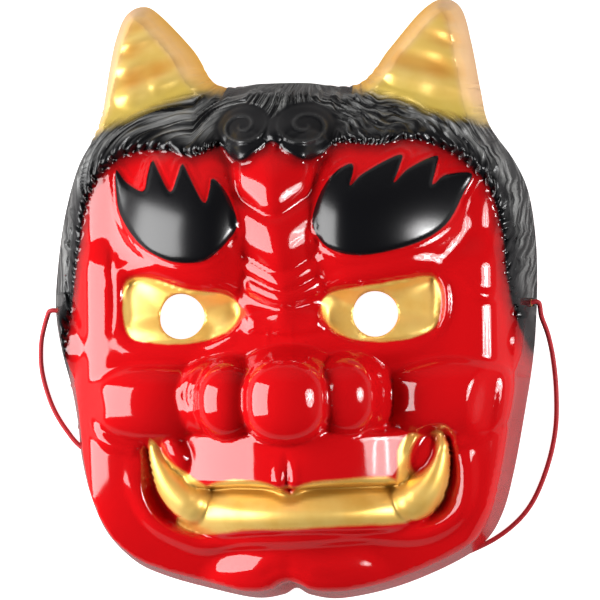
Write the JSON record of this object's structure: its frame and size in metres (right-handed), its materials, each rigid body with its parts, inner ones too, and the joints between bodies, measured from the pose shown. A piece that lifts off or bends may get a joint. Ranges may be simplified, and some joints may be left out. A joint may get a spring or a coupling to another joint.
{
  "type": "oni mask",
  "caption": "Moulded red demon face mask with horns, combed hair, flame brows, tusks and bared teeth, hollow behind, on a thin round elastic.",
  "frame": {"origin": "on the floor under the middle of the mask's own box, the rim lying on the floor", "axes": "+Z out of the face, +Y towards the horns, +X towards the viewer's right"},
  "size_m": [0.2128, 0.2433, 0.0835],
  "materials": {
    "painted_sheet": "glossy, black and gold paint sprayed on",
    "elastic": "satin braided thread"
  },
  "bodies": {
    "root": {"mask_shell": "painted_sheet", "elastic_cord": "elastic", "elastic_knot_left": "elastic", "elastic_knot_right": "elastic"}
  },
  "joints": []
}
